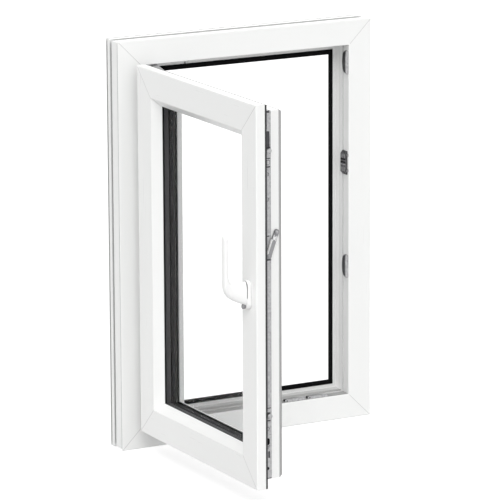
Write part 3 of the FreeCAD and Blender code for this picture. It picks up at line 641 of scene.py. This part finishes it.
SASH_RING = (SASH_LEFT, SASH_BOTTOM, SASH_RIGHT, SASH_TOP)
FRAME_RING = (0.0, 0.0, WINDOW_WIDTH, WINDOW_HEIGHT)
SEAL_PROFILE = [(3.2, 24.5), (0.9, 25.1), (0.6, 27.6), (1.4, 30.0), (3.0, 31.2), (4.8, 31.0),
                (6.2, 29.6), (7.4, 27.2), (8.8, 26.0), (8.8, 25.05), (6.8, 24.5)]
seal_grid = mitred_hoop(SEAL_PROFILE, SASH_RING, SASH_FRONT)
seal = piece("sash_seal_sprung", [hoop(opened(seal_grid))], edge_rubber, 50.0)
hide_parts("sash_seal")
FRAME_SEAL_PROFILE = [(86.0, 56.5), (84.4, 57.05), (84.0, 55.6), (85.2, 54.2), (88.5, 53.0),
                      (92.0, 52.6), (95.0, 53.4), (96.8, 55.0), (97.2, 56.2), (96.2, 56.0),
                      (94.2, 55.2), (92.2, 55.6), (91.4, 57.05), (89.5, 56.5)]
frame_seal_grid = mitred_hoop(FRAME_SEAL_PROFILE, FRAME_RING, 0.0)
frame_seal = piece("frame_seal_sprung", [hoop(placed(frame_seal_grid))], rubber, 50.0)
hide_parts("frame_seal")
seal_stands = max(d for _, d in SEAL_PROFILE) - FLANGE_DEPTH
print("seal stands", round(seal_stands, 1), "mm off the flange")

# %% [markdown]
# The sash's outdoor edge is chamfered, and an even grey line runs along the chamfer on every side,
# lit or not. So it is a colour and no shade: a thin weather lip of softer grey PVC, extruded on to
# the profile. It is one more profile carried round the sash, 0.3 mm thick on the chamfer.

# %% Weather lip on the chamfer
LIP_PROFILE = [(20.3, 74.4), (20.3, 73.4), (19.6, 73.6), (19.6, 75.0), (22.6, 79.6), (25.0, 83.4),
               (25.6, 83.6), (25.9, 83.2), (23.3, 79.0)]
lip_grid = mitred_hoop(LIP_PROFILE, SASH_RING, SASH_FRONT)
piece("sash_weather_lip", [hoop(opened(lip_grid))], grey_lip, 50.0)

# %% [markdown]
# ## Weld seams
#
# At each corner two profiles are melted together and the bead that squeezes out is scraped away,
# which leaves a fine matt groove along the mitre. It is drawn as a flat lens-shaped strip laid in
# the surface, 0.05 mm proud, whose greyer tone is painted shade of the groove: a ring of eight
# points carried from one end of the mitre to the other. The line is followed over the faces that
# show: the front and back of frame and sash, and the glazing beads.

# %% Seams along the mitres
SEAM_WIDTH = 1.5
SEAM_RISE = 0.05
BACK_SEAM_RISE = 0.02


def strip(start, end, normal, width=SEAM_WIDTH, rise=SEAM_RISE):
    """Lens-shaped bar: an ellipse of the width and rise, carried along the line start to end."""
    start, end, normal = [np.array(v, float) for v in (start, end, normal)]
    run = (end - start) / np.linalg.norm(end - start)
    normal = normal - run * (normal @ run)
    normal /= np.linalg.norm(normal)
    side = np.cross(run, normal)
    turn = np.linspace(0, 2 * np.pi, 8, endpoint=False)[:, None]
    ring = side * np.cos(turn) * width / 2 + normal * np.sin(turn) * rise
    steps = np.linspace(0, 1, 3)[:, None, None]
    return start + (end - start) * steps + ring


def mitre_seams(near, far, ring, front, normal, rise=SEAM_RISE):
    """Strips from (w, d) near to far along the four mitres; normal is (inwards, outdoors)."""
    ends = mitred_hoop([near, far], ring, front)
    middle = np.array([(ring[0] + ring[2]) / 2, 0, (ring[1] + ring[3]) / 2])
    for a, b in ends:
        inwards = np.sign(middle - a) * [1, 0, 1]
        yield strip(a, b, inwards * normal[0] + Y * normal[1], rise=rise)


frame_seams = [
    *mitre_seams((1.5, 0), (63.5, 0), FRAME_RING, 0.0, (0, -1)),
    *mitre_seams((2, FRAME_DEPTH), (80, FRAME_DEPTH), FRAME_RING, 0.0, (0, 1), BACK_SEAM_RISE),
]
sash_seams = [
    *mitre_seams((3.5, 0), (72.8, 0), SASH_RING, SASH_FRONT, (0, -1)),
    *mitre_seams((27, SASH_DEPTH), (84, SASH_DEPTH), SASH_RING, SASH_FRONT, (0, 1)),
    *mitre_seams((73.4, 0.4), (93, 21.2), SASH_RING, SASH_FRONT, (1, -1)),
]
piece("weld_seams_frame", on_frame(*frame_seams), weld, 80.0)
piece("weld_seams_sash", on_sash(*sash_seams), weld, 80.0)

# %% [markdown]
# ## Screws
#
# Each plate is held by countersunk screws with a cross recess. A screw head seen from above is a
# height field on a disc: a low crown, less a cross that is cut where either arm is near. The arms
# fade out over a quarter of a millimetre, because a punched recess has no knife edges. The disc is
# a grid in polar coordinates, rings from the rim to the middle.

# %% Screw heads
SUNK = -0.3
HEAD_RADIUS, HEAD_CROWN, HEAD_LIFT = 3.6, 1.0, 0.12
CROSS_DEPTH, CROSS_WIDTH, CROSS_LENGTH = 0.85, 1.0, 0.62 * HEAD_RADIUS
PUNCH_SOFT = 0.25
FIRST_TURN, NEXT_TURN = 0.4, 0.9
EDGE_SCREW_DEPTH = 42.0
EDGE_SCREW_Z = (846, 783, 205, 160)
PLATE_SCREW_X = (630, 530, 495, 380, 265)
SHOE_SCREW_X = (96, 150, 205)
SHOE_THICK = 3.0


def cross_cut(a, b, width, length):
    """1 inside either arm of a cross, 0 outside, with a soft edge."""
    def arm(u, v):
        near = np.clip((width / 2 - np.abs(u)) / PUNCH_SOFT + 0.5, 0, 1)
        return near * np.clip((length - np.abs(v)) / PUNCH_SOFT + 0.5, 0, 1)
    return np.maximum(arm(a, b), arm(b, a))


def screw_head(turn):
    """Local (a, b, h) rings: the rim below the surface, then the crown less the cross."""
    angle = np.linspace(0, 2 * np.pi, 40, endpoint=False) + turn
    share = np.concatenate([[1.0, 1.0], np.linspace(0.97, 0.03, 13)])[:, None]
    a, b = HEAD_RADIUS * share * np.cos(angle), HEAD_RADIUS * share * np.sin(angle)
    crown = HEAD_CROWN * (1 - share ** 2) ** 0.5 + HEAD_LIFT
    c, s = math.cos(turn), math.sin(turn)
    h = crown - CROSS_DEPTH * cross_cut(a * c + b * s, b * c - a * s, CROSS_WIDTH, CROSS_LENGTH)
    h[0] = SUNK
    return np.stack([a, b, h], -1)


def screws_at(places, across, up, send):
    """One head per place, each turned a little differently, as screws stop where they bite."""
    heads = [screw_head(FIRST_TURN + NEXT_TURN * i) for i in range(len(places))]
    return [shell(send(stand(head, at, across, up))) for head, at in zip(heads, places)]


edge_screws = [(LOCK_EDGE, SASH_FRONT + EDGE_SCREW_DEPTH, z) for z in EDGE_SCREW_Z]
top_screws = [(x, PLATE_MIDDLE, TOP_EDGE) for x in PLATE_SCREW_X]
top_screws += [(x, PLATE_MIDDLE, TOP_EDGE + SHOE_THICK) for x in SHOE_SCREW_X]
low_screws = [(x, PLATE_MIDDLE, LOW_EDGE) for x in PLATE_SCREW_X]
low_screws += [(x, PLATE_MIDDLE, LOW_EDGE - SHOE_THICK) for x in SHOE_SCREW_X]
sash_screws = [*screws_at(edge_screws, Y, Z, opened), *screws_at(top_screws, X, Y, opened),
               *screws_at(low_screws, Y, X, opened)]
piece("screws_in_sash_plates", sash_screws, silver_plate, 40.0)

# %% [markdown]
# ## Keeps
#
# A keep is a steel plate with a lip that the cam slides behind, screwed to the frame. The two on
# the upright side have a dark slab shaped like a D under them, painted shade behind the lip, and
# their screws are dark; the two on the sill have silver screws and a dark slab at one end each,
# painted shade in the keep's end recess. The D is drawn as its outline, half a superellipse on a
# straight side, stacked into a low slab with a softened edge.

# %% Painted shade slabs and screws of the keeps
KEEP_LENGTH, KEEP_THICK, KEEP_SPACING = 61.0, 2.4, 68.5
UPPER_KEEP_Z = WINDOW_HEIGHT - FRAME_FACE - 16.5 - KEEP_LENGTH
LOWER_KEEP_Z = FRAME_FACE + 320.0
FIRST_KEEP_IN = 61.0
LOW_KEEP_X = [REVEAL - FIRST_KEEP_IN - KEEP_LENGTH - i * KEEP_SPACING for i in (0, 1)]
UPRIGHT_KEEP_RISE = 4.2
D_HALF_LENGTH, D_START, D_REACH, D_POWER, D_POINTS = 29.5, 8.6, 21.0, 0.6, 48


def d_outline():
    """Half superellipse over the keep's length; its straight side lies against the lip."""
    t = np.linspace(0, np.pi, D_POINTS)
    along = KEEP_LENGTH / 2 - D_HALF_LENGTH * np.cos(t)
    return np.stack([along, D_START + D_REACH * np.sin(t) ** D_POWER], -1)


def slab(outline, base, top, rim):
    """Local rings of any rounded outline; the top ring shrinks by the rim about its middle."""
    middle = outline.mean(0)
    reach = np.abs(outline - middle).max(0)
    rings = []
    for height, inset in ((base, 0.0), (top - rim, 0.0), (top - 0.3 * rim, 0.3 * rim), (top, rim)):
        shrunk = middle + (outline - middle) * (1 - inset / reach)
        rings.append(np.column_stack([shrunk, np.full(len(outline), height)]))
    return np.stack(rings)


# A dark D-shaped slab under each upright keep: painted shade behind the keep's lip.
d_shade_slab = slab(d_outline(), 1.0, 4.3, 0.8)
d_shade_slabs = [stand(d_shade_slab, (REVEAL, 0.0, z), Z, Y) for z in (UPPER_KEEP_Z, LOWER_KEEP_Z)]
piece("keep_painted_shade_d", on_frame(*d_shade_slabs), dark_plate, 40.0)
upright_heads = [(REVEAL - UPRIGHT_KEEP_RISE, 18.0, z + a)
                 for z in (UPPER_KEEP_Z, LOWER_KEEP_Z) for a in (14.0, 47.0)]
flat_heads = [(x + a, 17.0, FRAME_FACE + KEEP_THICK) for x in LOW_KEEP_X for a in (16.0, 45.0)]
# A dark slab at one end of each sill keep: painted shade in the keep's end recess.
stop = stacked(5.5, 8.5, 2.4, 0.8, 32, SUNK)
end_shades = [stand(stop, (x + 5.5, 11.0, FRAME_FACE + KEEP_THICK), X, Y) for x in LOW_KEEP_X]
piece("keep_end_painted_shade", on_frame(*end_shades), rubber, 50.0)
piece("screws_in_upright_keeps", screws_at(upright_heads, Z, Y, placed), dark_plate,
      40.0)
piece("screws_in_low_keeps", screws_at(flat_heads, X, Y, placed), silver_plate,
      40.0)
print("keeps at z", UPPER_KEEP_Z, LOWER_KEEP_Z, "and x", LOW_KEEP_X)

# %% [markdown]
# ## Small parts of the lock edge
#
# The faceplate is more than a strip of steel: its screws sit in countersinks, a rivet holds the
# drive rod behind it, plastic plugs close unused holes, curved windows show the spring strips that
# bend round the corner, short lines show where lengths of plate meet, and the rod itself shows dark
# at the bottom of the upper slot. Each is a low stadium-shaped slab or a flat bar, dark where it is
# a hole or plastic and domed where it is a rivet; the dark discs of the countersinks and round the
# rivet are painted shade. A fine pressed groove runs along the plates, and its darker strip next to
# the flange is also painted shade.

# %% Plugs, joints, painted countersink shade, rivet and groove of the faceplate
# Slabs: half width, half height, thickness, rim, depth from the sash's room face, height.
PLUGS = [(4.6, 8.3, 0.8, 0.4, 41.6, 173), (3.8, 3.8, 0.8, 0.4, 41.0, 104),
         (2.4, 5.4, 0.8, 0.4, 38.0, 601), (2.4, 5.8, 0.8, 0.4, 38.0, 532),
         (2.2, 3.4, 0.8, 0.3, 38.6, 967)]
WINDOWS = [(2.6, 9.0, 0.3, 0.2, 44.5, 139), (3.0, 3.0, 0.3, 0.15, 43.5, 160)]
RIVET_Z = 875
# The dark discs round the edge screws and under the rivet are painted shade of the countersinks and of
# the rivet's shadow.
COUNTERSINKS = [*((4.7, 4.7, 0.16, 0.1, EDGE_SCREW_DEPTH, z) for z in EDGE_SCREW_Z),
                (4.9, 6.8, 0.16, 0.1, PLATE_DEPTH, RIVET_Z), (2.0, 9.0, 0.2, 0.1, 49.0, 905)]
# Lines across the plate: height, depth where they end, width.
JOINTS = [(1000.5, 48, 6.0), (885, 50, 2.5), (864, 50, 3.5), (692, 47, 3.0), (632, 52, 3.5),
          (258, 50, 2.5), (246, 48, 2.5), (226, 49, 3.5), (78.5, 51, 2.5)]
JOINT_START, JOINT_RISE = 38.5, 0.25
ROD_DEPTH, ROD_Z, ROD_TOP, ROD_FOOT = 44.8, 926.0, -1.0, -3.0
GROOVE_DEPTH, GROOVE_WIDTH = 41.0, 2.4
GROOVE_ENDS = [(191, 228), (252, 630), (660, 690), (694, 840), (852, 868), (886, 908), (958, 998)]


def edge_point(depth, z):
    """Point on the lock edge, at a depth from the sash's room face and a height."""
    return LOCK_EDGE, SASH_FRONT + depth, z


def on_edge(half_across, half_up, top, rim, depth, z):
    """Stadium slab on the lock edge."""
    return stand(stacked(half_across, half_up, top, rim, 32, SUNK), edge_point(depth, z), Y, Z)


plugs = [on_edge(*plug) for plug in PLUGS]
piece("faceplate_plugs", on_sash(*plugs), rubber, 50.0)
windows = [on_edge(*window) for window in WINDOWS]
windows += [strip(edge_point(JOINT_START, z), edge_point(end, z), X, width, JOINT_RISE)
            for z, end, width in JOINTS]
rod = stand(stacked(3.5, 26.0, ROD_TOP, 0.2, 32, ROD_FOOT), edge_point(ROD_DEPTH, ROD_Z), Y, Z)
piece("faceplate_windows", on_sash(*windows, rod), dark_plate, 50.0)
recess_shades = [on_edge(*recess) for recess in COUNTERSINKS]
piece("faceplate_countersink_shade", on_sash(*recess_shades), dark_plate, 50.0)
domed_rivet = on_edge(3.9, 5.6, 2.2, 2.0, PLATE_DEPTH, RIVET_Z)
piece("faceplate_rivets", on_sash(domed_rivet), silver_plate, 50.0)
# The groove strips lie where the flange shades the plate, so their darker tone is partly painted
# shade.
groove_and_shade_strips = [strip(edge_point(GROOVE_DEPTH, low), edge_point(GROOVE_DEPTH, high), X, GROOVE_WIDTH)
           for low, high in GROOVE_ENDS]
piece("faceplate_groove_and_shade", on_sash(*groove_and_shade_strips), dull_plate, 80.0)

# %% [markdown]
# ## The fail-safe lever
#
# A sprung lever stops the handle from being turned while the sash stands open. The fixed piece is
# its flat bar with a slot; added here are a white strip along one edge, a painted highlight of its
# raised flange, the bush and the bright eyelet of the slot, the knob at its head with a boss on it,
# the rivet it pivots on and the dark washer below. They are drawn along the lever, a across it and
# b up it, and leaned over with it by 20 degrees.

# %% Painted highlight strip, slot, knob and rivet of the lever
JOINT_Z = SASH_TOP - 331.0
LEVER_Z = JOINT_Z - 49.0
LEVER_THICK = 5.0
LEVER_LEAN = math.radians(20.0)
LEVER_UP = np.array([0.0, math.sin(LEVER_LEAN), math.cos(LEVER_LEAN)])
LEVER_ACROSS = np.array([0.0, math.cos(LEVER_LEAN), -math.sin(LEVER_LEAN)])
SLOT_UP, KNOB_UP, HIGHLIGHT_UP = 45.5, 61.5, 22.0
SLOT_SIDE, HIGHLIGHT_SIDE = 4.0, -6.2
BOSS_HEIGHT = 8.2


def on_lever(local, b, a=0.0, height=LEVER_THICK):
    """Local rings on the lever's outer face, b millimetres up from its pivot."""
    base = np.array([LOCK_EDGE + height, PLATE_MIDDLE, LEVER_Z]) + LEVER_UP * b + LEVER_ACROSS * a
    return stand(local, base, LEVER_ACROSS, LEVER_UP)


# A white strip along the lever's edge: a painted highlight of its raised flange.
edge_highlight_strip = on_lever(stacked(1.1, 19.0, 2.0, 0.7, 24, -4.6), HIGHLIGHT_UP, HIGHLIGHT_SIDE)
piece("lever_edge_painted_highlight", on_sash(edge_highlight_strip), white_coat, 50.0)
eyelet_side = stacked(1.1, 6.6, 0.9, 0.6, 24, SUNK)
eyelet = [on_lever(eyelet_side, SLOT_UP, side) for side in (-SLOT_SIDE, SLOT_SIDE)]
piece("lever_eyelet", on_sash(*eyelet), bright_plate, 50.0)
bush = on_lever(stacked(2.0, 4.4, 0.4, 0.2, 24, -3.0), SLOT_UP)
piece("lever_slot_bush", on_sash(bush), white_coat, 50.0)
knob = on_lever(stacked(6.2, 6.2, 3.2, 2.2, 32, SUNK), KNOB_UP)
rivet = on_lever(stacked(4.6, 4.6, 1.6, 1.4, 32, SUNK), 0.0)
piece("lever_knob_and_rivet", on_sash(knob, rivet), dull_plate, 50.0)
washer = on_lever(stacked(9.4, 9.4, 1.3, 0.5, 48), 0.0, height=0.0)
piece("lever_washer", on_sash(washer), dark_plate, 50.0)
boss = on_lever(stacked(3.2, 3.2, 1.2, 0.9, 24, SUNK), KNOB_UP, height=BOSS_HEIGHT)
piece("lever_knob_boss", on_sash(boss), silver_plate, 50.0)

# %% [markdown]
# ## Run-up block and hinges
#
# The run-up block is held by two screws through its ears. Shallow ribs stiffen the casting: three
# short ones abreast at either end and one across, and two dark bands cross its middle. Each is a
# bar laid on the block's face, which climbs from 5.5 to 9.5 mm over its width. The hinge plates in
# the frame and the shoes on the sash carry the window's weight, so each has a row of screws. All
# are the same head as before, turned to face out of their own plate.

# %% Ribs of the run-up block
RUN_UP_Z = JOINT_Z - 27.0
BLOCK_NEAR, BLOCK_CLIMB, BLOCK_START, BLOCK_WIDTH = 5.5, 4.0, 8.0, 21.5
RIB_DEPTHS = (12.0, 18.5, 25.5)
RIB_ENDS = ((8.5, 20.0), (44.5, 54.5))
CROSS_RIB_UP = 27.0
BAND_UP = (33.0, 41.0)


def on_block(depth, height):
    """Point on the sloping face of the run-up block, from its depth and its height up the block."""
    rise = BLOCK_NEAR + BLOCK_CLIMB * (depth - BLOCK_START) / BLOCK_WIDTH
    return REVEAL - rise, depth, RUN_UP_Z + height


ribs = [strip(on_block(depth, low), on_block(depth, high), -X, 2.2, 0.5)
        for depth in RIB_DEPTHS for low, high in RIB_ENDS]
cross_rib = strip(on_block(9.0, CROSS_RIB_UP), on_block(28.5, CROSS_RIB_UP), -X, 2.0, 0.5)
piece("run_up_ribs", on_frame(*ribs, cross_rib), silver_plate, 60.0)
bands = [strip(on_block(8.8, up), on_block(28.8, up), -X, 3.6, 0.3) for up in BAND_UP]
piece("run_up_bands", on_frame(*bands), rubber, 60.0)

# %% Screws in the frame
EAR_THICK, EAR_DEPTH = 1.9, 5.2
HINGE_THICK, HINGE_DEPTH = 3.0, 19.0
HINGE_SCREW_X = (80.0, 140.0, 165.0, 190.0)
ear_heads = [(REVEAL - EAR_THICK, EAR_DEPTH, RUN_UP_Z + a) for a in (10.5, 52.5)]
upper_hinge = [(x, HINGE_DEPTH, WINDOW_HEIGHT - FRAME_FACE - HINGE_THICK) for x in HINGE_SCREW_X]
lower_hinge = [(x, HINGE_DEPTH, FRAME_FACE + HINGE_THICK) for x in HINGE_SCREW_X]
frame_screws = [*screws_at(ear_heads, Z, Y, placed), *screws_at(upper_hinge, Y, X, placed),
                *screws_at(lower_hinge, X, Y, placed)]
piece("screws_in_frame_plates", frame_screws, silver_plate, 40.0)

# %% [markdown]
# ## Floor, light and camera
#
# A pale floor at the window's lowest point catches a soft shadow. To the camera, to glass and to
# metal the surroundings are plain white, while the light that falls on the window is set apart
# from that, low enough that a white surface isn't burnt out. The camera is a long lens about ten
# metres away, looking slightly down from the left.

# %% Floor and surroundings
FILL_STRENGTH = 0.15
FLOOR_GLOW = 0.60
FLOOR_SIZE = 60.0
FLOOR_GAP = 0.0005


def seen_directly(tree):
    """1 for camera, glossy and transmission rays, 0 for the light that falls on things."""
    path = add(tree, "ShaderNodeLightPath")
    either = add(tree, "ShaderNodeMath", {"operation": "MAXIMUM"},
                 {0: path.outputs["Is Camera Ray"], 1: path.outputs["Is Glossy Ray"]})
    return add(tree, "ShaderNodeMath", {"operation": "MAXIMUM"},
               {0: either.outputs[0], 1: path.outputs["Is Transmission Ray"]}).outputs[0]


def studio_floor(size, low):
    """Flat square at the window's foot, white with a shadow."""
    mesh = bpy.data.meshes.new("studio_floor")
    half = size / 2
    mesh.from_pydata([(-half, -half, low), (half, -half, low), (half, half, low),
                      (-half, half, low)], [], [(0, 1, 2, 3)])
    material, tree, _ = new_material("studio_floor_white")
    lit = add(tree, "ShaderNodeBsdfDiffuse", {"Color": linear("#CCCCCC")})
    glow = add(tree, "ShaderNodeEmission", {"Strength": FLOOR_GLOW})
    both = add(tree, "ShaderNodeAddShader", {}, {0: lit.outputs[0], 1: glow.outputs[0]})
    pick = add(tree, "ShaderNodeMixShader", {},
               {0: seen_directly(tree), 1: lit.outputs[0], 2: both.outputs[0]})
    add(tree, "ShaderNodeOutputMaterial", {}, {"Surface": pick.outputs[0]})
    mesh.materials.append(material)
    made = bpy.data.objects.new("studio_floor", mesh)
    bpy.context.scene.collection.objects.link(made)


studio_floor(FLOOR_SIZE, cad_low.z - FLOOR_GAP)
world = bpy.data.worlds.new("studio_world")
bpy.context.scene.world = world
world.use_nodes = True
sky = world.node_tree
sky.nodes.clear()
lit_world = add(sky, "ShaderNodeBackground", {"Strength": FILL_STRENGTH})
seen_world = add(sky, "ShaderNodeBackground", {"Strength": 1.0})
world_mix = add(sky, "ShaderNodeMixShader", {},
                {0: seen_directly(sky), 1: lit_world.outputs[0], 2: seen_world.outputs[0]})
add(sky, "ShaderNodeOutputWorld", {}, {"Surface": world_mix.outputs[0]})
print("floor at z", round(cad_low.z, 4))

# %% [markdown]
# Five sun lamps stand for the white walls of a studio. A sun lights near and far alike, and its
# angle spreads it like a wide soft window: from the front, from the left, from above, from behind
# on the right and, narrower, from between front and left, which gives the handle its shadow. Their
# strengths were set so that every white face comes out at its own tone and none burns out.

# %% Studio lights
# Azimuth and elevation in degrees, strength, spread in degrees.
STUDIO_LIGHTS = {
    "key_light": (-38.0, 43.0, 0.66, 35.0),
    "front_light": (0.0, 28.0, 1.50, 70.0),
    "left_light": (-78.0, 30.0, 0.94, 60.0),
    "top_light": (-30.0, 78.0, 1.20, 60.0),
    "back_light": (140.0, 10.0, 1.40, 80.0),
}
LAMP_DISTANCE = 6.0


def soft_sun(name, azimuth, elevation, strength, spread):
    """Sun lamp from a direction in degrees, azimuth 0 in front and growing to the right."""
    turn, rise = math.radians(azimuth), math.radians(elevation)
    level = math.cos(rise)
    direction = Vector((math.sin(turn) * level, -math.cos(turn) * level, math.sin(rise)))
    data = bpy.data.lights.new(name, "SUN")
    data.energy = strength
    data.angle = math.radians(spread)
    made = bpy.data.objects.new(name, data)
    made.location = direction * LAMP_DISTANCE
    made.rotation_mode = "QUATERNION"
    made.rotation_quaternion = (-direction).to_track_quat("-Z", "Y")
    bpy.context.scene.collection.objects.link(made)
    return made


lights = [soft_sun(name, *setting) for name, setting in STUDIO_LIGHTS.items()]
print("lights:", {light.name: round(light.data.energy, 2) for light in lights})

# %% [markdown]
# The camera's place and turn were worked out from the straight edges of the frame and sash, whose
# sizes are known. Its focal length is written in picture widths, so the lens follows from the
# sensor's width.

# %% Camera
CAMERA_PLACE = (-4.64033, -8.84165, 2.80778)
CAMERA_FORWARD = (0.4543178, 0.8616025, -0.2263547)
CAMERA_UP = (0.1095949, 0.1981035, 0.9740349)
FOCAL_PIXELS = 3904.0
PICTURE_PIXELS = 500.0
SENSOR_MM = 36.0
CLIP_NEAR, CLIP_FAR = 0.1, 200.0


def turn_to(forward, up):
    """Rotation whose -Z looks forward and whose Y points up."""
    back = -Vector(forward).normalized()
    side = Vector(up).cross(back).normalized()
    return Matrix((side, back.cross(side), back)).transposed().to_quaternion()


camera_data = bpy.data.cameras.new("front_left_camera")
camera_data.sensor_width = SENSOR_MM
camera_data.lens = FOCAL_PIXELS * SENSOR_MM / PICTURE_PIXELS
camera_data.clip_start, camera_data.clip_end = CLIP_NEAR, CLIP_FAR
camera = bpy.data.objects.new("front_left_camera", camera_data)
camera.location = CAMERA_PLACE
camera.rotation_mode = "QUATERNION"
camera.rotation_quaternion = turn_to(CAMERA_FORWARD, CAMERA_UP)
bpy.context.scene.collection.objects.link(camera)
bpy.context.scene.camera = camera
bpy.context.scene.view_settings.view_transform = "Standard"
print("lens", round(camera_data.lens, 1), "mm")
